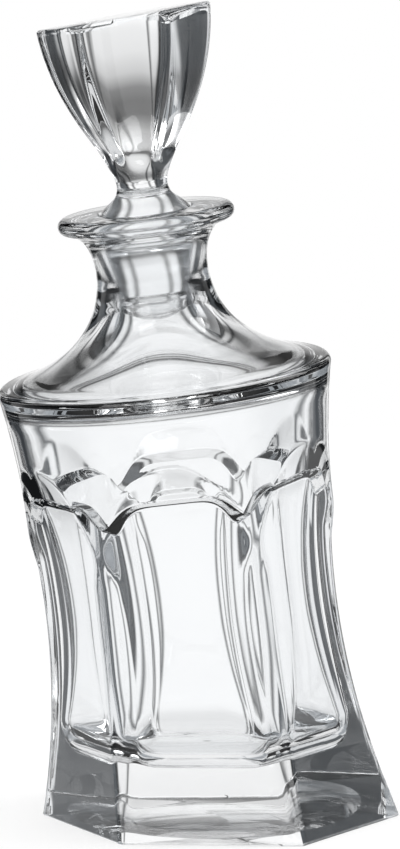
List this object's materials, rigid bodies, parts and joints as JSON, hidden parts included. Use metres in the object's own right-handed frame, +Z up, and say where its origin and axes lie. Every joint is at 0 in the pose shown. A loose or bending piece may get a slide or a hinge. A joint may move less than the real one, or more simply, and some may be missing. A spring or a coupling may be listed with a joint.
{
  "type": "glass decanter",
  "caption": "Leaning six-sided glass decanter with arched side panels, a flanged neck and a solid faceted glass stopper that lifts out.",
  "frame": {"origin": "on the resting surface, under the middle of the whole decanter's bounding box", "axes": "+Z up from the table; the decanter leans towards -X; XZ is the bottle's plane of symmetry"},
  "size_m": [0.1282, 0.1192, 0.274],
  "materials": {
    "bottle_glass": "polished clear crystal glass",
    "stopper_glass": "polished clear crystal glass with a finely ground plug"
  },
  "bodies": {
    "bottle_body": {"bottle": "bottle_glass"},
    "stopper_body": {"stopper": "stopper_glass"}
  },
  "joints": [
    {"name": "stopper_lift", "type": "slide", "parent": "bottle_body", "child": "stopper_body", "axis": [-0.1288, 0, 0.9917], "range_m": [0, 0.07]}
  ]
}
